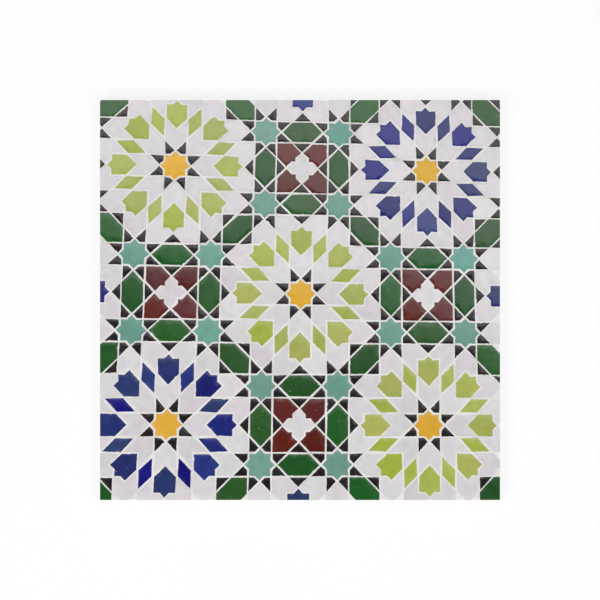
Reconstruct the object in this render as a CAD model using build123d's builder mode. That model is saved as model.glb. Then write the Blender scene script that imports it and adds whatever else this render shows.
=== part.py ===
"""Square zellige panel: hand-cut glazed terracotta pieces standing on a mortar bed.

The pattern is a lattice of eight-fold rosettes with a four-fold cross between
every four of them. All its lines run at multiples of 45 degrees, so every
outline follows from the pitch of the rosettes and the size of the stars.

Frame: the origin is the centre of the bed's underside, +Z points out of the
glazed face, and +X and +Y run along the sawn sides.
"""

import os
from math import ceil, radians, sqrt, tan

from build123d import *

# Panel, millimetres
panel_side = 500.0
bed_thickness = 12.0
piece_thickness = 11.0

# Cutting of the pieces: the sharp ends of the rhombs are cut back, and the mortar fills the rest
joint = 1.6
back_bevel = 5.0
rhomb_cut_back = 5.8
least_foot = 20.0

# Drawn pattern: pitch of the rosettes along a row, centre to tip of a star,
# and half the width of the white cross's arms
pitch = 321.0
star_radius = 19.9
cross_arm = 7.2

# Laying by hand: the drawing is turned, its middle is off the panel's middle,
# and the rows close up a little towards one side, by a share for each pitch
lay_angle = -0.66
heart = Vector(0.75, 7.7)
closing_x = 0.020
closing_y = 0.045

# How far a piece's sides lean in over its thickness
lean = piece_thickness * tan(radians(back_bevel))

# A rosette has eight sectors; the distances are from its middle or from that of a cross
sector = 45
root = sqrt(2)
half = star_radius / root
notch = star_radius - half
short = pitch * (2 - root) / 4
long = pitch / 2 - short
inner = short - half
side = long - half
edge = short - half * (1 + root)
point = (short + half) * root
shoulder = point - notch

# Corners that several outlines share, in the sector along +X of a rosette
tip = (star_radius, 0)
dart_end = (half * (1 + root), half)
petal_end = (inner * root, 0)
petal_side = (half + inner * root, half)
rhomb_end = (inner * (1 + root), inner)
rhomb_side = (inner + half * root, inner)


def mirrored(corners):
    """The same outline on the other side of its sector, still anticlockwise."""
    return [(x, -y) for x, y in reversed(corners)]


def both_sides(corners):
    """Outline that is its own mirror image, from the corners of its upper half."""
    return [(x, -y) for x, y in reversed(corners) if y] + corners


def quarter_turns(corners):
    """Outline with four-fold symmetry, from the corners of one quarter."""
    return [c for k in range(4) for c in turned(corners, 90 * k)]


def turned(corners, angle, centre=(0, 0)):
    """Outline turned about the origin, then moved to its centre."""
    spun = [Vector(*corner).rotate(Axis.Z, angle) + Vector(*centre) for corner in corners]
    return [(corner.X, corner.Y) for corner in spun]


def along_rhomb(corner, distance):
    """A corner moved outwards along the middle line between two sectors."""
    moved = Vector(*corner) + Vector(1, 0).rotate(Axis.Z, sector / 2) * distance
    return moved.X, moved.Y


# Outlines about a rosette
star = quarter_turns([tip, (half, notch), (half, half), (notch, half)])
dart = [tip, dart_end, (half, half), (half, notch)]
petal = both_sides([petal_end, petal_side, dart_end, tip])
rhomb = [
    along_rhomb(dart_end, rhomb_cut_back),
    petal_side,
    along_rhomb(rhomb_end, -rhomb_cut_back),
    rhomb_side,
]
shield = both_sides([(point, 0), (shoulder, notch), (shoulder, half), petal_side, petal_end])
wing = [petal_side, (shoulder, half), (shoulder, notch), (point, 0), (side, edge), (side, inner), rhomb_end]
side_triangle = [(point, 0), (side, -edge), (side, edge)]
hexagon = [
    (side, -edge),
    (long, star_radius - short),
    (long + half, -edge),
    (long + half, edge),
    (long, short - star_radius),
    (side, edge),
]

# Outlines about a cross
cross = quarter_turns(
    [tip, (star_radius - cross_arm, cross_arm), (cross_arm, cross_arm), (cross_arm, star_radius - cross_arm)]
)
corner_block = [
    tip,
    (inner, edge),
    (inner, inner),
    (edge, inner),
    (0, star_radius),
    (cross_arm, star_radius - cross_arm),
    (cross_arm, cross_arm),
    (star_radius - cross_arm, cross_arm),
]
cross_triangle = [tip, (inner, -edge), (inner, edge)]

names = [
    "yellow_star",
    "rosette_dart",
    "white_petal",
    "lime_rhomb",
    "blue_rhomb",
    "lime_shield",
    "blue_shield",
    "white_wing",
    "black_triangle",
    "teal_star",
    "star_kite",
    "green_hexagon",
    "white_cross",
    "red_corner",
]
drawn = {name: [] for name in names}


def draw_rosette(centre, colour):
    """Pieces of one rosette, with half of the stars and hexagons that it shares with other rosettes."""
    drawn["yellow_star"].append(turned(star, 0, centre))
    for k in range(8):
        angle = sector * k
        star_centre = turned([(long, short)], angle, centre)[0]
        drawn["rosette_dart"].append(turned(dart, angle, centre))
        drawn["white_petal"].append(turned(petal, angle, centre))
        drawn[colour + "_rhomb"].append(turned(rhomb, angle, centre))
        drawn[colour + "_shield"].append(turned(shield, angle, centre))
        drawn["white_wing"].append(turned(wing, angle, centre))
        drawn["white_wing"].append(turned(mirrored(wing), angle, centre))
        drawn["black_triangle"].append(turned(side_triangle, angle, centre))
        first_half = k < 4
        faces_cross = k % 2 == 0
        if first_half or faces_cross:
            drawn["green_hexagon"].append(turned(hexagon, angle, centre))
        if first_half:
            drawn["teal_star"].append(turned(star, 0, star_centre))
            drawn["star_kite"] += [turned(dart, sector * n, star_centre) for n in range(8)]


def draw_cross(centre):
    """The white cross between four rosettes, its red corners and its black triangles."""
    drawn["white_cross"].append(turned(cross, 0, centre))
    for k in range(4):
        drawn["red_corner"].append(turned(corner_block, 90 * k, centre))
        drawn["black_triangle"].append(turned(cross_triangle, 90 * k, centre))


def laid(corner):
    """Where a corner of the drawing comes to lie on the panel."""
    x, y = corner
    closing = 1 + (closing_x * x + closing_y * y) / pitch
    return Vector(x, y).rotate(Axis.Z, lay_angle) / closing + heart


def set_in(outline, distance):
    """Corners of a laid outline after every side has moved in by one distance."""
    corners = [laid(corner) for corner in outline]
    sides = [(b - a).normalized() for a, b in zip(corners, corners[1:] + corners[:1])]
    inward = [Vector(-s.Y, s.X) for s in sides]
    moved = [
        corner + (before + after) * (distance / (1 + before.dot(after)))
        for corner, before, after in zip(corners, inward[-1:] + inward[:-1], inward)
    ]
    return [(corner.X, corner.Y) for corner in moved]


def is_laid(outline):
    """Whether enough of a piece's back lies inside the sawn sides to stand on the bed."""
    corners = set_in(outline, joint / 2 + lean)
    if any(min(places) > panel_side / 2 or max(places) < -panel_side / 2 for places in zip(*corners)):
        return False
    foot = Polygon(*corners, align=None).intersect(Rectangle(panel_side, panel_side))
    return foot is not None and sum(face.area for face in foot.faces()) > least_foot


def cut_piece(outline):
    """One piece at its full size: its sides lean in from the glazed face to the back."""
    glazed_face = Plane.XY.offset(bed_thickness + piece_thickness)
    with BuildPart() as piece:
        with BuildSketch(glazed_face):
            Polygon(*set_in(outline, joint / 2), align=None)
        extrude(amount=-piece_thickness)
        draft(piece.faces().filter_by(Axis.Z, reverse=True), glazed_face, -back_bevel)
    return piece.part


# Drawing: rosettes alternate lime and blue along the rows
reach = ceil(panel_side / pitch) + 1
for row in range(-reach, reach + 1):
    for column in range(-reach, reach + 1):
        across = (column + row) / 2
        up = (column - row) / 2
        draw_rosette((across * pitch, up * pitch), "lime" if column % 2 == 0 else "blue")
        draw_cross(((across + 0.5) * pitch, up * pitch))

os.makedirs("parts", exist_ok=True)

for name, outlines in drawn.items():
    laid_pieces = [cut_piece(outline) for outline in outlines if is_laid(outline)]
    with BuildPart() as pieces:
        add(laid_pieces)
        with BuildSketch(Plane.XY.offset(bed_thickness)):
            Rectangle(panel_side, panel_side)
        extrude(amount=piece_thickness, mode=Mode.INTERSECT)
    pieces.part.label = name
    export_step(pieces.part, f"parts/{name}.step")

with BuildPart() as mortar_bed:
    with BuildSketch():
        Rectangle(panel_side, panel_side)
    extrude(amount=bed_thickness)
mortar_bed.part.label = "mortar_bed"
export_step(mortar_bed.part, "parts/mortar_bed.step")
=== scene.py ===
"""Dresses the zellige panel: hand-cut glazed pieces, the mortar in their joints, and the stage."""

import math
import random

import bpy
from bpy.props import FloatProperty, FloatVectorProperty, PointerProperty
from mathutils import Matrix, Vector, noise
from mathutils.geometry import delaunay_2d_cdt, intersect_point_line


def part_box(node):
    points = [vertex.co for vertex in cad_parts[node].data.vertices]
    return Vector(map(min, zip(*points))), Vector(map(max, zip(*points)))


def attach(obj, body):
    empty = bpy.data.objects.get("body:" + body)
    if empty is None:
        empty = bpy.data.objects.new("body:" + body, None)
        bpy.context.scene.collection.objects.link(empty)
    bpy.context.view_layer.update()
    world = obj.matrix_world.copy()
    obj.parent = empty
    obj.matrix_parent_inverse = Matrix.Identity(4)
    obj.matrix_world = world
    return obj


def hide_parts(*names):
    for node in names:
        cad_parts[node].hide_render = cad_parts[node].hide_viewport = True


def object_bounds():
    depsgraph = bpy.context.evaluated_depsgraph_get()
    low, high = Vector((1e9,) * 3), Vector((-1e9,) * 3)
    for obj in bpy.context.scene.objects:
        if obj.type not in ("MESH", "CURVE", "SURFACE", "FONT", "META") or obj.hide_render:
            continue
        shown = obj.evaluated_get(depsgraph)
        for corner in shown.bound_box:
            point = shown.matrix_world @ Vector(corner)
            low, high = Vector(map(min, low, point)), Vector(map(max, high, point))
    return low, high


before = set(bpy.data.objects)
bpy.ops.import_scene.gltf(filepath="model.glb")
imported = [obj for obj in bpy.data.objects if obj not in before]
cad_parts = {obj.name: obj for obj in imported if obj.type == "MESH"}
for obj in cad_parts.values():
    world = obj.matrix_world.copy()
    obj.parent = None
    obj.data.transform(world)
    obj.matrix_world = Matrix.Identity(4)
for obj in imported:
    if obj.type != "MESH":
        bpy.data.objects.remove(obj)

bl_info = {
    "name": "Zellige Panel",
    "version": (1, 0, 0),
    "blender": (4, 5, 0),
    "location": "View3D > Sidebar > Zellige",
    "description": "Hand-cut glazed pieces on a mortar bed, dressed over the panel's solids",
    "category": "Object",
}

# The panel's solids, in metres
CAD_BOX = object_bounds()
BED_LOW, BED_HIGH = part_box("mortar_bed")
BED_TOP = BED_HIGH.z
FACE_TOP = CAD_BOX[1].z
HALF_SIDE = BED_HIGH.x

# Kinds of piece and their glazes, in the groups that one operator makes
STARS = {"yellow_star": "yellow", "teal_star": "teal"}
ROSETTES = {
    "rosette_dart": "black",
    "white_petal": "white",
    "lime_rhomb": "lime",
    "blue_rhomb": "blue",
    "lime_shield": "lime",
    "blue_shield": "blue",
    "white_wing": "white",
}
BORDERS = {"black_triangle": "black", "star_kite": "black", "green_hexagon": "green"}
CROSSES = {"white_cross": "white", "red_corner": "red"}
PIECE_NODES = (*STARS, *ROSETTES, *BORDERS, *CROSSES)

# How far the pieces of one glaze differ in lightness, in hue and in depth of colour
GLAZE_SPREAD = {
    "yellow": (0.06, 0.006, 0.08),
    "black": (0.50, 0.0, 0.90),
    "white": (0.05, 0.0, 0.75),
    "lime": (0.08, 0.010, 0.10),
    "blue": (0.28, 0.014, 0.10),
    "teal": (0.10, 0.012, 0.12),
    "green": (0.22, 0.012, 0.10),
    "red": (0.16, 0.006, 0.12),
}
MILLIMETRE = 0.001
SEED = 8

# Slack in reading the solids: heights, places on a sawn side, corners on a straight side, sides in line,
# and points that count as one
LEVEL_SLACK = 1e-6
SAWN_SLACK = 1e-5
STRAIGHT = 1e-4
PARALLEL = 0.05
SAME_PLACE = 1e-6

# Corners under this angle are sharp ends; faces that meet under the other are shaded as one
SHARP = math.radians(75)
SMOOTH_UP_TO = math.radians(38)

# Rim of a piece: where its rings lie and how deep a nick cuts into each, as shares
WAIST_LEAN = 0.6
WAIST_NICK = 0.5
LIP_NICK_DROP = 0.3
SHOULDER_PLACE = 0.4
SHOULDER_DROP = 0.28
SHOULDER_NICK = 0.6
SHOULDER_NICK_DROP = 0.12
LEAST_NICK = 0.4
SHOULDER_WEAR = 0.6

# Points inside a face, as shares of its grid: shake, distance from the rim, and run of the crown
GRID_SHAKE = 0.3
GRID_CLEAR = 0.4
CROWN_RUN = 2.2

# Length of the ripples in a face and of the humps in a joint, in metres, and seeds that set them apart
RIPPLE_LENGTH = 0.012
RIPPLE_SEEDS = 50
HUMP_LENGTH = 0.02
HUMP_SEED = 3.0

# Sawn sides of the bed: cells along a side, size of the pits in metres, and a seed for each side
BED_CELLS = 60
PIT_LENGTH = 1 / 90
PIT_HEIGHT = 1 / 400
PIT_DEPTH = 0.0004
SIDE_SEED = 7.0

# Grain of the noise in the materials, in turns for each metre
MOTTLE_GRAIN = 95.0
WEAR_GRAIN = 260.0
PIT_GRAIN = 520.0
GLOSS_GRAIN = 45.0
RELIEF_GRAIN = 150.0
CLAY_GRAIN = 55.0
MORTAR_GRAIN = 38.0
FLOOR_GRAIN = 3.0

# Looks of the glaze, from and to: noise to mottling, to wear at the rim, to pinholes and to roughness
MOTTLE_NOISE = (0.3, 0.7)
MOTTLE_MEAN = 0.96
LEAST_MOTTLE = 0.03
MOTTLE_SHARE = 0.45
WEAR_RANGE = (0.50, 0.64, 0.0, 0.9)
PINHOLE_RANGE = (0.735, 0.77, 0.0, 0.8)
GLOSS_RANGE = (0.3, 0.7, 0.14, 0.24)
MATT_RANGE = (0.2, 0.8, 0.78, 0.95)

# Bump heights in metres and their strengths, and how dark the clay gets
GLAZE_BUMP_STRENGTH = 0.12
MATT_BUMP_STRENGTH = 0.5
GLAZE_BUMP = 0.0006
CLAY_BUMP = 0.0006
MORTAR_BUMP = 0.0005
DARK_CLAY = 0.72

# Lamps: place, point they face, and size, in metres
CANOPY = ((0.15, 0.86, 2.6), (0.0, 0.25, 0.0), (2.6, 1.7))
SIDE_LAMP = ((-1.7, -1.2, 2.6), (0.0, 0.0, 0.0), (1.8, 1.8))
FILL_LAMP = ((1.8, -1.1, 2.6), (0.0, 0.0, 0.0), (1.8, 1.8))

# Share of plain white in the floor that the camera sees, and the gap under the panel
FLOOR_WHITE = 0.8
FLOOR_GAP = 0.0005


def length(name, description, default, low=0.0, high=1.0):
    """Property for a length in metres."""
    return FloatProperty(
        name=name, description=description, default=default, min=low, max=high, unit="LENGTH", precision=5
    )


def power(name, description, default):
    """Property for a lamp's power in watts."""
    return FloatProperty(name=name, description=description, default=default, min=0.0, unit="POWER")


def colour(name, description, default):
    """Property for a linear colour."""
    return FloatVectorProperty(
        name=name, description=description, default=default, min=0.0, max=1.0, size=3, subtype="COLOR"
    )


class ZelligeCutting(bpy.types.PropertyGroup):
    """How the pieces were cut and laid."""

    step: length("Chip spacing", "Distance between the hammer marks along a cut side", 2.2 * MILLIMETRE)
    wander: length("Wander", "How far a cut side strays from its line", 0.18 * MILLIMETRE)
    arris: length("Arris", "Width of the rounded rim of the glaze", 0.40 * MILLIMETRE)
    arris_drop: length("Arris drop", "How far the rim falls below the face", 0.18 * MILLIMETRE)
    glaze_depth: length("Glaze depth", "Where the glaze ends on the side of a piece", 0.9 * MILLIMETRE)
    nick: length("Nick", "Depth of the small nicks in the rim", 0.8 * MILLIMETRE)
    nick_share: FloatProperty(
        name="Nick share",
        description="Share of hammer marks that left a nick",
        default=0.03,
        min=0.0,
        max=1.0,
        subtype="FACTOR",
    )
    crown: length("Crown", "How far the middle of a face rises over its rim", 0.05 * MILLIMETRE)
    ripple: length("Ripple", "Height of the slow ripples in a glazed face", 0.04 * MILLIMETRE)
    rock: length("Rock", "How far a laid piece's corner rises or falls by its lean", 0.15 * MILLIMETRE)
    stray: length("Stray", "How far a laid piece lies off its drawn place", 0.34 * MILLIMETRE)
    blunt: length("Blunting", "How far the hammer took back a corner at most", 1.1 * MILLIMETRE)
    rhomb_reach: length("Rhomb reach", "How far the rhombs' sharp ends pass the solids", 2.8 * MILLIMETRE)
    sink: length("Sink", "Largest depth of a low piece under the highest one", 0.10 * MILLIMETRE)
    grain: length("Face grid", "Spacing of the points inside a glazed face", 4.5 * MILLIMETRE)


class ZelligeMortar(bpy.types.PropertyGroup):
    """The mortar under and between the pieces."""

    depth: length("Joint depth", "How far the joint's mortar lies under the glazed face", 0.45 * MILLIMETRE)
    set_back: length("Set back", "How far the joints lie behind the sawn sides", 0.45 * MILLIMETRE)
    uneven: length("Unevenness", "Height of the humps in the struck joints", 0.12 * MILLIMETRE)
    tone: colour("Mortar", "Colour of the white mortar", (0.71, 0.695, 0.685))
    dust: colour("Dirt", "Colour of the dirt in the joints", (0.55, 0.52, 0.485))


class ZelligeGlazes(bpy.types.PropertyGroup):
    """Colours of the glazes and of the fired clay under them."""

    yellow: colour("Yellow", "Honey yellow glaze of the heart stars", (0.68, 0.368, 0.030))
    black: colour("Black", "Manganese black glaze", (0.010, 0.0062, 0.0066))
    white: colour("White", "Tin white glaze", (0.645, 0.615, 0.637))
    lime: colour("Lime", "Lime green glaze", (0.365, 0.405, 0.075))
    blue: colour("Blue", "Cobalt blue glaze", (0.011, 0.021, 0.152))
    teal: colour("Teal", "Pale turquoise glaze", (0.135, 0.315, 0.255))
    green: colour("Green", "Copper green glaze", (0.010, 0.080, 0.011))
    red: colour("Red", "Red-brown glaze", (0.095, 0.009, 0.006))
    clay: colour("Clay", "Fired clay where the glaze ends", (0.52, 0.33, 0.22))
    flash: colour("Bare rim", "Pale clay that shows through a worn rim", (0.66, 0.58, 0.50))


class ZelligeStage(bpy.types.PropertyGroup):
    """Camera, lamps and floor."""

    frame_width: length("Frame width", "Width of the view at the glazed face", 0.75, 0.1, 5.0)
    camera_height: length("Camera height", "Height of the camera over the face", 3.0, 0.5, 10.0)
    floor_side: length("Floor side", "Side of the square floor", 24.0, 1.0, 60.0)
    canopy_light: power("Canopy", "Lamp over the far half of the panel", 27.0)
    side_light: power("Side lamp", "Lamp that shows the relief", 58.0)
    fill_light: power("Fill lamp", "Lamp opposite the side lamp", 44.0)
    sky_light: FloatProperty(
        name="Sky", description="Strength of the even light all round", default=0.13, min=0.0
    )
    white: colour("White", "Floor and surround", (1.0, 1.0, 1.0))


# Outlines from the solids


def spot(point):
    """Key that joins vertices lying in one place."""
    return tuple(round(c * 1e6) for c in point)


def loops_at(node, level):
    """Anticlockwise outlines of a node's flat faces at one height."""
    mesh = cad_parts[node].data
    followers = {}
    places = {}
    for face in mesh.polygons:
        corners = [mesh.vertices[i].co for i in face.vertices]
        if any(abs(c.z - level) > LEVEL_SLACK for c in corners):
            continue
        keys = [spot(c) for c in corners]
        places.update(zip(keys, [c.to_2d() for c in corners]))
        area = sum(a.x * b.y - a.y * b.x for a, b in zip(corners, corners[1:] + corners[:1]))
        if area < 0:
            keys.reverse()
        for a, b in zip(keys, keys[1:] + keys[:1]):
            followers.setdefault(a, set()).add(b)
    rim = {}
    for a, nexts in followers.items():
        for b in nexts:
            if a not in followers.get(b, ()):
                rim[a] = b
    outlines = []
    while rim:
        start, here = rim.popitem()
        loop = [start]
        while here != start:
            loop.append(here)
            here = rim.pop(here)
        outlines.append([places[key] for key in loop])
    return sorted((straightened(loop) for loop in outlines), key=lambda loop: (loop[0].y, loop[0].x))


def straightened(loop):
    """Outline without the corners that lie on a straight side, from its lowest corner on."""
    kept = [
        b for a, b, c in zip(loop[-1:] + loop[:-1], loop, loop[1:] + loop[:1])
        if abs((b - a).cross(c - b)) > STRAIGHT * (b - a).length * (c - b).length
    ]
    first = min(range(len(kept)), key=lambda i: (round(kept[i].y, 6), round(kept[i].x, 6)))
    return kept[first:] + kept[:first]


def on_sawn_side(point):
    """Whether a point lies on one of the panel's sawn sides."""
    return max(abs(point.x), abs(point.y)) > HALF_SIDE - SAWN_SLACK


def is_sawn(a, b):
    """Whether the side between two corners lies along a sawn side."""
    return on_sawn_side(a) and on_sawn_side(b) and on_sawn_side((a + b) / 2)


def middle(loop):
    """Mean of an outline's corners."""
    return sum(loop, Vector((0, 0))) / len(loop)


def kept_in(point):
    """A point, brought back to the sawn side where it strayed past it."""
    return Vector(min(max(c, -HALF_SIDE), HALF_SIDE) for c in point)


def inward_normals(loop):
    """Unit normals of an anticlockwise outline's sides, pointing in."""
    sides = [(b - a).normalized() for a, b in zip(loop, loop[1:] + loop[:1])]
    return [Vector((-s.y, s.x)) for s in sides]


def set_in(loop, distance):
    """Outline with its sides moved in; a side on a sawn edge stays where it is."""
    normals = inward_normals(loop)
    shifts = [0.0 if is_sawn(a, b) else distance for a, b in zip(loop, loop[1:] + loop[:1])]
    moved = []
    for i, corner in enumerate(loop):
        n0, n1 = normals[i - 1], normals[i]
        d0, d1 = shifts[i - 1], shifts[i]
        det = n0.cross(n1)
        if abs(det) < PARALLEL:
            moved.append(corner + (n0 * d0 + n1 * d1) / 2)
            continue
        moved.append(corner + Vector((d0 * n1.y - d1 * n0.y, d1 * n0.x - d0 * n1.x)) / det)
    return moved


def inside(point, loop):
    """Whether a point lies inside an outline."""
    odd = False
    for a, b in zip(loop, loop[1:] + loop[:1]):
        if (a.y > point.y) != (b.y > point.y):
            if point.x < a.x + (point.y - a.y) * (b.x - a.x) / (b.y - a.y):
                odd = not odd
    return odd


def clearance(point, loop):
    """Distance from a point to the nearest side of an outline."""
    nearest = math.inf
    for a, b in zip(loop, loop[1:] + loop[:1]):
        _, share = intersect_point_line(point, a, b)
        share = min(max(share, 0.0), 1.0)
        nearest = min(nearest, (point - a.lerp(b, share)).length)
    return nearest


# Hand-cut pieces


class PieceMesh:
    """Vertices, faces and values of all the pieces of one node."""

    def __init__(self):
        self.points = []
        self.faces = []
        self.glazed = []
        self.tone = []
        self.drift = []
        self.rim = []

    def add_ring(self, ring, look, rim):
        """Adds a ring of points and returns their indices; a piece's look is its tone and its drift."""
        first = len(self.points)
        self.points += ring
        self.tone += [look[0]] * len(ring)
        self.drift += [look[1]] * len(ring)
        self.rim += [rim] * len(ring)
        return list(range(first, first + len(ring)))

    def bridge(self, lower, upper, glazed):
        """Joins two rings by quads, or by triangles where the lower ring repeats a point."""
        for k in range(len(lower)):
            n = (k + 1) % len(lower)
            corners = dict.fromkeys((lower[k], lower[n], upper[n], upper[k]))
            self.faces.append(tuple(corners))
            self.glazed.append(glazed)

    def to_object(self, name, materials):
        """Makes the Blender object of the collected pieces."""
        mesh = bpy.data.meshes.new(name)
        mesh.from_pydata([tuple(p) for p in self.points], [], self.faces)
        for material in materials:
            mesh.materials.append(material)
        mesh.polygons.foreach_set("material_index", [0 if g else 1 for g in self.glazed])
        mesh.polygons.foreach_set("use_smooth", self.glazed)
        for key, values in (("tone", self.tone), ("drift", self.drift), ("rim", self.rim)):
            layer = mesh.attributes.new(key, "FLOAT", "POINT")
            layer.data.foreach_set("value", values)
        mesh.validate()
        mesh.update()
        mesh.set_sharp_from_angle(angle=SMOOTH_UP_TO)
        obj = bpy.data.objects.new(name, mesh)
        bpy.context.scene.collection.objects.link(obj)
        return obj


def dice_vector(dice):
    """Random vector no longer than one."""
    turn = dice.uniform(0, math.tau)
    return Vector((math.cos(turn), math.sin(turn))) * math.sqrt(dice.random())


def nudged(face, back, cut, dice):
    """The outlines of a piece as it was laid: a little off its place and turned, unless it is sawn."""
    centre = middle(face)
    reach = max((corner - centre).length for corner in face)
    shift = dice_vector(dice) * cut.stray
    spin = Matrix.Rotation(dice.uniform(-1, 1) * cut.stray / reach, 2)
    normals = inward_normals(face)
    nips = [(normals[k - 1] + normals[k]) * dice.random() * cut.blunt / 2 for k in range(len(face))]
    if any(on_sawn_side(corner) for corner in face):
        return face, back
    place = centre + shift
    return tuple(
        [place + spin @ (corner + nip - centre) for corner, nip in zip(loop, nips)] for loop in (face, back)
    )


def chip_count(a, b, cut):
    """Number of hammer marks along a side."""
    return max(2, round((b - a).length / cut.step))


def chipped_line(face, back, cut, dice):
    """Points along a piece's cut sides: where the hammer struck, how far it strayed, and any nick."""
    marks = []
    count = len(face)
    for i in range(count):
        a, b = face[i], face[(i + 1) % count]
        back_a, back_b = back[i], back[(i + 1) % count]
        sawn = is_sawn(a, b)
        normal = Vector((-(b - a).y, (b - a).x)).normalized()
        chips = chip_count(a, b, cut)
        for k in range(chips):
            share = k / chips
            stray = 0.0
            nick = 0.0
            if not sawn and k > 0:
                stray = dice.uniform(-1, 1) * cut.wander
                if dice.random() < cut.nick_share:
                    nick = dice.uniform(LEAST_NICK, 1.0) * cut.nick
            marks.append((a.lerp(b, share), back_a.lerp(back_b, share), normal, stray, nick))
    return marks


def add_piece(made, face, back, cut, dice):
    """One hand-cut piece: leaning clay sides, rounded glaze rim and a crowned, rippled face."""
    look = (dice.uniform(-1, 1), dice.uniform(-1, 1))
    centre = middle(face)
    reach = max((corner - centre).length for corner in face)
    lean = dice_vector(dice) * (cut.rock / reach)
    top = FACE_TOP - dice.uniform(0, 1) * cut.sink - cut.crown - cut.ripple - lean.length * reach
    ripple_seed = Vector((dice.uniform(0, RIPPLE_SEEDS), dice.uniform(0, RIPPLE_SEEDS), 0))

    def height(point):
        slope = (point - centre).dot(lean)
        wave = noise.noise(Vector((point.x, point.y, 0)) / RIPPLE_LENGTH + ripple_seed)
        return top + slope + wave * cut.ripple

    marks = chipped_line(face, back, cut, dice)
    rim_line = set_in(face, cut.arris)
    rim_marks = []
    for i in range(len(face)):
        a, b = rim_line[i], rim_line[(i + 1) % len(face)]
        chips = chip_count(face[i], face[(i + 1) % len(face)], cut)
        rim_marks += [a.lerp(b, k / chips) for k in range(chips)]
    rim_marks = [r + n * nick for r, (_, _, n, _, nick) in zip(rim_marks, marks)]
    edge = [kept_in(p - n * s) for p, _, n, s, _ in marks]
    waist = []
    lip = []
    shoulder = []
    for (p, q, n, _, nick), e, r in zip(marks, edge, rim_marks):
        base = height(p)
        low = base - cut.glaze_depth - nick
        down = (FACE_TOP - low) / (FACE_TOP - BED_TOP)
        waist_place = (e + n * nick * WAIST_NICK).lerp(q, down * WAIST_LEAN)
        waist.append(waist_place.to_3d() + Vector((0, 0, low)))
        lip_level = base - cut.arris_drop - nick * LIP_NICK_DROP
        lip.append((e + n * nick).to_3d() + Vector((0, 0, lip_level)))
        shoulder_place = e.lerp(r, SHOULDER_PLACE) + n * nick * SHOULDER_NICK
        shoulder_level = base - cut.arris_drop * SHOULDER_DROP - nick * SHOULDER_NICK_DROP
        shoulder.append(shoulder_place.to_3d() + Vector((0, 0, shoulder_level)))
    face_ring = [Vector((r.x, r.y, height(r))) for r in rim_marks]

    rings = [
        add_foot(made, [q for _, q, _, _, _ in marks], look),
        made.add_ring(waist, look, 1.0),
        made.add_ring(lip, look, 1.0),
        made.add_ring(shoulder, look, SHOULDER_WEAR),
        made.add_ring(face_ring, look, 0.0),
    ]
    for k, glazed in enumerate((False, True, True, True)):
        made.bridge(rings[k], rings[k + 1], glazed)
    fill_face(made, rings[4], rim_marks, rim_line, height, cut, look, dice)


def add_foot(made, outline, look):
    """Fills a piece's underside and returns the point under each mark; marks in one place share a point."""
    border = list(range(len(outline)))
    points, _, faces, originals, _, _ = delaunay_2d_cdt(outline, [], [border], 1, SAME_PLACE)
    ring = made.add_ring([Vector((p.x, p.y, BED_TOP)) for p in points], look, 0.0)
    for face in faces:
        made.faces.append(tuple(ring[k] for k in reversed(face)))
        made.glazed.append(False)
    under = {mark: ring[k] for k, marks in enumerate(originals) for mark in marks}
    return [under[mark] for mark in border]


def fill_face(made, ring, rim_marks, rim_line, height, cut, look, dice):
    """Fills a glazed face with points on a loose grid, a little higher towards its middle."""
    low = Vector((min(p.x for p in rim_line), min(p.y for p in rim_line)))
    high = Vector((max(p.x for p in rim_line), max(p.y for p in rim_line)))
    grid = []
    for i in range(int((high.x - low.x) / cut.grain) + 1):
        for j in range(int((high.y - low.y) / cut.grain) + 1):
            shake = Vector((dice.uniform(-GRID_SHAKE, GRID_SHAKE), dice.uniform(-GRID_SHAKE, GRID_SHAKE)))
            point = low + (Vector((i + 0.5, j + 0.5)) + shake) * cut.grain
            if inside(point, rim_line) and clearance(point, rim_line) > cut.grain * GRID_CLEAR:
                grid.append(point)
    border = list(range(len(rim_marks)))
    points, _, faces, originals, _, _ = delaunay_2d_cdt(rim_marks + grid, [], [border], 1, SAME_PLACE)
    index = {}
    for k, point in enumerate(points):
        source = originals[k][0] if originals[k] else None
        if source is not None and source < len(rim_marks):
            index[k] = ring[source]
            continue
        lift = min(clearance(point, rim_line) / (CROWN_RUN * cut.grain), 1.0)
        top = height(point) + cut.crown * lift * (2 - lift)
        index[k] = made.add_ring([Vector((point.x, point.y, top))], look, 0.0)[0]
    for face in faces:
        made.faces.append(tuple(index[k] for k in face))
        made.glazed.append(True)


def cut_node(node, cut, materials, dice):
    """All pieces of one node as one object that stands for it."""
    made = PieceMesh()
    faces = loops_at(node, FACE_TOP)
    backs = loops_at(node, BED_TOP)
    if not faces or len(faces) != len(backs):
        raise RuntimeError(f"{node} has {len(faces)} glazed faces and {len(backs)} backs")
    for face in faces:
        centre = middle(face)
        nearest = min(backs, key=lambda loop: (middle(loop) - centre).length)
        back = matched(nearest, face)
        if node.endswith("_rhomb"):
            face, back = (pointed(loop, cut.rhomb_reach) for loop in (face, back))
        add_piece(made, *nudged(face, back, cut, dice), cut, dice)
    obj = made.to_object(node + "_pieces", materials)
    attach(obj, "root")
    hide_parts(node)
    return obj


def pointed(loop, reach):
    """Outline with its sharp corners drawn out along their middle lines, but for those on a sawn side."""
    drawn_out = []
    for before, corner, after in zip(loop[-1:] + loop[:-1], loop, loop[1:] + loop[:1]):
        one, other = (before - corner).normalized(), (after - corner).normalized()
        if one.angle(other) < SHARP and not on_sawn_side(corner):
            corner = corner - (one + other).normalized() * reach
        drawn_out.append(corner)
    return drawn_out


def matched(back, face):
    """Corners of the back outline in the order of the face's corners."""
    return [min(back, key=lambda q: (q - p).length) for p in face]


# Materials


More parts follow.
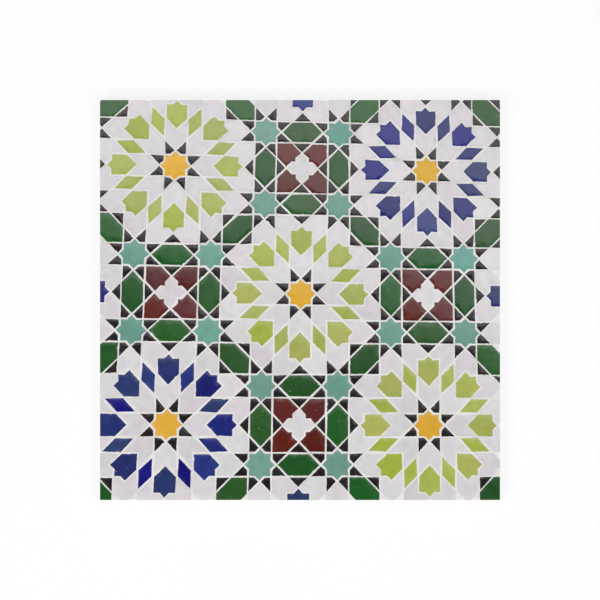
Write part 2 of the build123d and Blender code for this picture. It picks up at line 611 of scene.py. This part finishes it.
def new_material(name):
    """Empty node material with its shader and output."""
    material = bpy.data.materials.new(name)
    material.use_nodes = True
    nodes = material.node_tree.nodes
    nodes.clear()
    output = nodes.new("ShaderNodeOutputMaterial")
    shader = nodes.new("ShaderNodeBsdfPrincipled")
    material.node_tree.links.new(shader.outputs["BSDF"], output.inputs["Surface"])
    return material, nodes, material.node_tree.links, shader


def noise_node(nodes, links, scale, detail, rough=0.5):
    """Noise over the object's own coordinates."""
    place = nodes.new("ShaderNodeTexCoord")
    cloud = nodes.new("ShaderNodeTexNoise")
    cloud.inputs["Scale"].default_value = scale
    cloud.inputs["Detail"].default_value = detail
    cloud.inputs["Roughness"].default_value = rough
    links.new(place.outputs["Object"], cloud.inputs["Vector"])
    return cloud.outputs["Fac"]


def ramp_node(nodes, links, source, stops):
    """Colour ramp fed by a value; stops are pairs of place and colour."""
    ramp = nodes.new("ShaderNodeValToRGB")
    while len(ramp.color_ramp.elements) < len(stops):
        ramp.color_ramp.elements.new(0.5)
    for element, (place, shade) in zip(ramp.color_ramp.elements, stops):
        element.position = place
        element.color = (*shade, 1.0)
    links.new(source, ramp.inputs["Fac"])
    return ramp.outputs["Color"]


def range_node(nodes, links, source, from_low, from_high, to_low, to_high):
    """Maps a value from one range to another, clamped."""
    node = nodes.new("ShaderNodeMapRange")
    for socket, value in zip(node.inputs[1:5], (from_low, from_high, to_low, to_high)):
        socket.default_value = value
    links.new(source, node.inputs["Value"])
    return node.outputs["Result"]


def blend_node(nodes, links, share, first, second, how="MIX"):
    """Mixes two colours; each may be a socket or a colour."""
    node = nodes.new("ShaderNodeMix")
    node.data_type = "RGBA"
    node.blend_type = how
    for socket, value in ((node.inputs[0], share), (node.inputs[6], first), (node.inputs[7], second)):
        if isinstance(value, bpy.types.NodeSocket):
            links.new(value, socket)
        elif isinstance(value, float):
            socket.default_value = value
        else:
            socket.default_value = (*value, 1.0)
    return node.outputs[2]


def value_node(nodes, links, how, first, second):
    """Arithmetic on two values; each may be a socket or a number."""
    node = nodes.new("ShaderNodeMath")
    node.operation = how
    for socket, value in zip(node.inputs, (first, second)):
        if isinstance(value, bpy.types.NodeSocket):
            links.new(value, socket)
        else:
            socket.default_value = value
    return node.outputs[0]


def own_value(nodes, name):
    """Value that the mesh carries under a name."""
    node = nodes.new("ShaderNodeAttribute")
    node.attribute_name = name
    return node.outputs["Fac"]


def shaded(shade, factor):
    """A colour made lighter or darker."""
    return tuple(min(c * factor, 1.0) for c in shade)


def glaze_material(name, shade, bare, spread):
    """Glossy glaze: colour by the piece, mottled, thin and pale at its rim, with pinholes."""
    material, nodes, links, shader = new_material(name)
    light, hue, depth = spread
    tone = range_node(nodes, links, own_value(nodes, "tone"), -1.0, 1.0, 0.0, 1.0)
    body = ramp_node(nodes, links, tone, [(0.0, shaded(shade, 1 - light)), (1.0, shaded(shade, 1 + light))])
    batch = nodes.new("ShaderNodeHueSaturation")
    drift = own_value(nodes, "drift")
    links.new(range_node(nodes, links, drift, -1.0, 1.0, 0.5 - hue, 0.5 + hue), batch.inputs["Hue"])
    links.new(range_node(nodes, links, drift, -1.0, 1.0, 1 - depth, 1 + depth), batch.inputs["Saturation"])
    links.new(body, batch.inputs["Color"])
    body = batch.outputs["Color"]
    cloud = noise_node(nodes, links, MOTTLE_GRAIN, 4.0)
    pooling = LEAST_MOTTLE + MOTTLE_SHARE * light
    shares = (MOTTLE_MEAN - pooling, MOTTLE_MEAN + pooling)
    mottle = range_node(nodes, links, cloud, *MOTTLE_NOISE, *shares)
    body = blend_node(nodes, links, 1.0, body, mottle, "MULTIPLY")
    wear = noise_node(nodes, links, WEAR_GRAIN, 3.0)
    worn = value_node(nodes, links, "MULTIPLY", own_value(nodes, "rim"), wear)
    worn = range_node(nodes, links, worn, *WEAR_RANGE)
    body = blend_node(nodes, links, worn, body, bare)
    pits = range_node(nodes, links, noise_node(nodes, links, PIT_GRAIN, 2.0), *PINHOLE_RANGE)
    body = blend_node(nodes, links, pits, body, bare)
    links.new(body, shader.inputs["Base Color"])
    gloss = range_node(nodes, links, noise_node(nodes, links, GLOSS_GRAIN, 3.0), *GLOSS_RANGE)
    links.new(value_node(nodes, links, "ADD", gloss, worn), shader.inputs["Roughness"])
    bump = nodes.new("ShaderNodeBump")
    bump.inputs["Strength"].default_value = GLAZE_BUMP_STRENGTH
    bump.inputs["Distance"].default_value = GLAZE_BUMP
    links.new(noise_node(nodes, links, RELIEF_GRAIN, 3.0), bump.inputs["Height"])
    links.new(bump.outputs["Normal"], shader.inputs["Normal"])
    return material


def matt_material(name, shade, dark, scale, relief):
    """Dry mineral surface: clay or mortar, clouded and pitted."""
    material, nodes, links, shader = new_material(name)
    cloud = noise_node(nodes, links, scale, 6.0, 0.62)
    body = ramp_node(nodes, links, cloud, [(0.28, dark), (0.5, shade), (0.8, shaded(shade, 1.08))])
    links.new(body, shader.inputs["Base Color"])
    rough = range_node(nodes, links, cloud, *MATT_RANGE)
    links.new(rough, shader.inputs["Roughness"])
    bump = nodes.new("ShaderNodeBump")
    bump.inputs["Strength"].default_value = MATT_BUMP_STRENGTH
    bump.inputs["Distance"].default_value = relief
    links.new(noise_node(nodes, links, scale * 9, 5.0, 0.6), bump.inputs["Height"])
    links.new(bump.outputs["Normal"], shader.inputs["Normal"])
    return material


# Mortar


def joint_faces(mortar):
    """Triangles of the joints: the square between all the pieces' backs."""
    reach = HALF_SIDE - mortar.set_back
    square = ((-reach, -reach), (reach, -reach), (reach, reach), (-reach, reach))
    points = [Vector(corner) for corner in square]
    outlines = [[0, 1, 2, 3]]
    for node in PIECE_NODES:
        for loop in loops_at(node, BED_TOP):
            outlines.append(list(range(len(points), len(points) + len(loop))))
            points += loop
    places, _, faces, _, _, sources = delaunay_2d_cdt(points, [], outlines, 0, SAME_PLACE)
    return places, [face for face, source in zip(faces, sources) if source == [0]]


def make_mortar(mortar, material):
    """The bed, and the mortar that rose between the pieces up to just under their faces."""
    places, faces = joint_faces(mortar)
    used = sorted({k for face in faces for k in face})
    order = {k: i for i, k in enumerate(used)}
    count = len(used)
    points = []
    for k in used:
        hump = noise.noise(Vector((places[k].x, places[k].y, HUMP_SEED)) / HUMP_LENGTH) * mortar.uneven
        points.append((places[k].x, places[k].y, FACE_TOP - mortar.depth - mortar.uneven + hump))
    points += [(places[k].x, places[k].y, BED_TOP - mortar.set_back) for k in used]
    shell = [tuple(order[k] for k in face) for face in faces]
    sides = {(a, b) for face in shell for a, b in zip(face, face[1:] + face[:1])}
    walls = [(b, a, a + count, b + count) for a, b in sides if (b, a) not in sides]
    floor = [tuple(i + count for i in reversed(face)) for face in shell]
    slab_points, slab_faces = bed_slab(len(points))
    mesh = bpy.data.meshes.new("mortar_bed_and_joints")
    mesh.from_pydata(points + slab_points, [], shell + walls + floor + slab_faces)
    mesh.materials.append(material)
    mesh.validate()
    mesh.update()
    obj = bpy.data.objects.new("mortar_bed_and_joints", mesh)
    bpy.context.scene.collection.objects.link(obj)
    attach(obj, "root")
    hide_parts("mortar_bed")
    return obj


def bed_slab(first):
    """Points and faces of the bed, numbered from the first: rough sawn sides and a flat underside."""
    points = []
    for level in (BED_LOW.z, (BED_LOW.z + BED_TOP) / 2, BED_TOP):
        for corner in range(4):
            turn = [Vector((1, 0)), Vector((0, 1)), Vector((-1, 0)), Vector((0, -1))][corner]
            out = Vector((turn.y, -turn.x))
            for k in range(BED_CELLS):
                along = (2 * k / BED_CELLS - 1) * HALF_SIDE
                rough = noise.noise(Vector((along / PIT_LENGTH, corner * SIDE_SEED, level / PIT_HEIGHT)))
                pit = abs(rough) * PIT_DEPTH
                if k == 0 or level == BED_TOP:
                    pit = 0.0
                p = turn * along + out * (HALF_SIDE - pit)
                points.append((p.x, p.y, level))
    ring = 4 * BED_CELLS
    faces = []
    for level in range(2):
        for k in range(ring):
            n = (k + 1) % ring
            base = first + level * ring
            faces.append((base + k, base + n, base + ring + n, base + ring + k))
    faces.append(tuple(first + k for k in reversed(range(ring))))
    faces.append(tuple(first + 2 * ring + k for k in range(ring)))
    return points, faces


# Operators


def glaze_and_clay(glaze, glazes):
    """The materials of a piece, made once and then shared by all pieces of that glaze."""
    clay = bpy.data.materials.get("fired_clay")
    if clay is None:
        dark = shaded(glazes.clay, DARK_CLAY)
        clay = matt_material("fired_clay", tuple(glazes.clay), dark, CLAY_GRAIN, CLAY_BUMP)
    name = "hand_laid_" + glaze
    material = bpy.data.materials.get(name)
    if material is None:
        shade = tuple(getattr(glazes, glaze))
        material = glaze_material(name, shade, tuple(glazes.flash), GLAZE_SPREAD[glaze])
    return material, clay


def cut_group(scene, group, seed):
    """Every kind of piece of one group, one object for each kind."""
    dice = random.Random(seed)
    for node, glaze in group.items():
        cut_node(node, scene.zellige_cutting, glaze_and_clay(glaze, scene.zellige_glazes), dice)


class ZELLIGE_OT_stars(bpy.types.Operator):
    """Cut the yellow stars at the rosettes' hearts and the teal stars between the rosettes"""

    bl_idname = "zellige.stars"
    bl_label = "Eight-pointed stars"

    def execute(self, context):
        cut_group(context.scene, STARS, SEED)
        return {"FINISHED"}


class ZELLIGE_OT_rosettes(bpy.types.Operator):
    """Cut the rings of darts, petals, rhombs, shields and wings round the yellow stars"""

    bl_idname = "zellige.rosettes"
    bl_label = "Rosettes"

    def execute(self, context):
        cut_group(context.scene, ROSETTES, SEED + 1)
        return {"FINISHED"}


class ZELLIGE_OT_borders(bpy.types.Operator):
    """Cut the black triangles and kites and the green hexagons between the rosettes"""

    bl_idname = "zellige.borders"
    bl_label = "Borders"

    def execute(self, context):
        cut_group(context.scene, BORDERS, SEED + 2)
        return {"FINISHED"}


class ZELLIGE_OT_crosses(bpy.types.Operator):
    """Cut the white crosses and the red corners round them"""

    bl_idname = "zellige.crosses"
    bl_label = "Crosses"

    def execute(self, context):
        cut_group(context.scene, CROSSES, SEED + 3)
        return {"FINISHED"}


class ZELLIGE_OT_mortar(bpy.types.Operator):
    """Fill the joints and lay the bed under the pieces"""

    bl_idname = "zellige.mortar"
    bl_label = "Mortar bed and joints"

    def execute(self, context):
        mortar = context.scene.zellige_mortar
        shades = (tuple(mortar.tone), tuple(mortar.dust))
        material = matt_material("white_mortar", *shades, MORTAR_GRAIN, MORTAR_BUMP)
        make_mortar(mortar, material)
        return {"FINISHED"}


class ZELLIGE_OT_stage(bpy.types.Operator):
    """Set the floor, the lamps and the camera straight above the panel"""

    bl_idname = "zellige.stage"
    bl_label = "Stage"

    def execute(self, context):
        stage = context.scene.zellige_stage
        context.scene.view_settings.view_transform = "Standard"
        add_floor(stage)
        add_world(context.scene, stage)
        add_lamp("canopy", *CANOPY, stage.canopy_light)
        add_lamp("side_lamp", *SIDE_LAMP, stage.side_light)
        add_lamp("fill_lamp", *FILL_LAMP, stage.fill_light)
        add_camera(context.scene, stage)
        return {"FINISHED"}


def white_on_camera(nodes, links, lit, white, share):
    """Shows a share of plain white to the camera and to mirrors, and the lit shader to all other rays."""
    path = nodes.new("ShaderNodeLightPath")
    seen = value_node(nodes, links, "MAXIMUM", path.outputs["Is Camera Ray"], path.outputs["Is Glossy Ray"])
    seen = value_node(nodes, links, "MAXIMUM", seen, path.outputs["Is Transmission Ray"])
    seen = value_node(nodes, links, "MULTIPLY", seen, share)
    glow = nodes.new("ShaderNodeEmission")
    glow.inputs["Color"].default_value = (*white, 1.0)
    mix = nodes.new("ShaderNodeMixShader")
    links.new(seen, mix.inputs[0])
    links.new(lit, mix.inputs[1])
    links.new(glow.outputs[0], mix.inputs[2])
    return mix.outputs[0]


def add_floor(stage):
    """Pale floor that the panel lies on, white to the camera but for the panel's shadow."""
    half = stage.floor_side / 2
    mesh = bpy.data.meshes.new("floor")
    corners = [(-half, -half, 0), (half, -half, 0), (half, half, 0), (-half, half, 0)]
    mesh.from_pydata(corners, [], [(0, 1, 2, 3)])
    floor = bpy.data.objects.new("floor", mesh)
    floor.location.z = BED_LOW.z - FLOOR_GAP
    bpy.context.scene.collection.objects.link(floor)
    material, nodes, links, shader = new_material("pale_floor")
    cloud = noise_node(nodes, links, FLOOR_GRAIN, 2.0)
    stops = [(0.3, shaded(stage.white, 0.90)), (0.7, shaded(stage.white, 0.93))]
    pale = ramp_node(nodes, links, cloud, stops)
    links.new(pale, shader.inputs["Base Color"])
    shader.inputs["Roughness"].default_value = 0.9
    output = next(n for n in nodes if n.type == "OUTPUT_MATERIAL")
    seen = white_on_camera(nodes, links, shader.outputs["BSDF"], tuple(stage.white), FLOOR_WHITE)
    links.new(seen, output.inputs["Surface"])
    mesh.materials.append(material)


def add_world(scene, stage):
    """Even light from all round, white behind the floor's edge."""
    world = bpy.data.worlds.new("studio")
    scene.world = world
    world.use_nodes = True
    nodes, links = world.node_tree.nodes, world.node_tree.links
    nodes.clear()
    output = nodes.new("ShaderNodeOutputWorld")
    sky = nodes.new("ShaderNodeBackground")
    sky.inputs["Color"].default_value = (*stage.white, 1.0)
    sky.inputs["Strength"].default_value = stage.sky_light
    plain = nodes.new("ShaderNodeBackground")
    plain.inputs["Color"].default_value = (*stage.white, 1.0)
    plain.inputs["Strength"].default_value = 1.0
    path = nodes.new("ShaderNodeLightPath")
    mix = nodes.new("ShaderNodeMixShader")
    links.new(path.outputs["Is Camera Ray"], mix.inputs[0])
    links.new(sky.outputs[0], mix.inputs[1])
    links.new(plain.outputs[0], mix.inputs[2])
    links.new(mix.outputs[0], output.inputs["Surface"])


def add_lamp(name, place, target, size, power):
    """Soft rectangular lamp that faces a point."""
    lamp = bpy.data.lights.new(name, "AREA")
    lamp.shape = "RECTANGLE"
    lamp.size, lamp.size_y = size
    lamp.energy = power
    obj = bpy.data.objects.new(name, lamp)
    obj.location = place
    obj.rotation_euler = (Vector(target) - Vector(place)).to_track_quat("-Z", "Y").to_euler()
    bpy.context.scene.collection.objects.link(obj)


def add_camera(scene, stage):
    """Camera straight above the panel's middle, with +Y up in the picture."""
    data = bpy.data.cameras.new("camera")
    data.sensor_fit = "HORIZONTAL"
    data.angle = 2 * math.atan(stage.frame_width / 2 / stage.camera_height)
    data.clip_end = 4 * stage.camera_height + stage.floor_side
    camera = bpy.data.objects.new("camera", data)
    camera.location = (0.0, 0.0, FACE_TOP + stage.camera_height)
    scene.collection.objects.link(camera)
    scene.camera = camera


class ZELLIGE_PT_panel(bpy.types.Panel):
    """Lists the steps that dress the panel"""

    bl_idname = "ZELLIGE_PT_panel"
    bl_label = "Zellige Panel"
    bl_space_type = "VIEW_3D"
    bl_region_type = "UI"
    bl_category = "Zellige"

    def draw(self, context):
        for step in STEPS:
            self.layout.operator(step.bl_idname)
        for key in SETTINGS:
            group = getattr(context.scene, key)
            box = self.layout.box()
            for name in group.__annotations__:
                box.prop(group, name)


STEPS = (
    ZELLIGE_OT_stars,
    ZELLIGE_OT_rosettes,
    ZELLIGE_OT_borders,
    ZELLIGE_OT_crosses,
    ZELLIGE_OT_mortar,
    ZELLIGE_OT_stage,
)
SETTINGS = {
    "zellige_cutting": ZelligeCutting,
    "zellige_mortar": ZelligeMortar,
    "zellige_glazes": ZelligeGlazes,
    "zellige_stage": ZelligeStage,
}


def register():
    for cls in (*SETTINGS.values(), *STEPS, ZELLIGE_PT_panel):
        bpy.utils.register_class(cls)
    for key, group in SETTINGS.items():
        setattr(bpy.types.Scene, key, PointerProperty(type=group))


def unregister():
    for key in SETTINGS:
        delattr(bpy.types.Scene, key)
    for cls in reversed((*SETTINGS.values(), *STEPS, ZELLIGE_PT_panel)):
        bpy.utils.unregister_class(cls)


def main():
    """Dresses the panel."""
    register()
    bpy.ops.zellige.stars()
    bpy.ops.zellige.rosettes()
    bpy.ops.zellige.borders()
    bpy.ops.zellige.crosses()
    bpy.ops.zellige.mortar()
    bpy.ops.zellige.stage()
    bpy.context.view_layer.update()


if __name__ == "__main__":
    main()
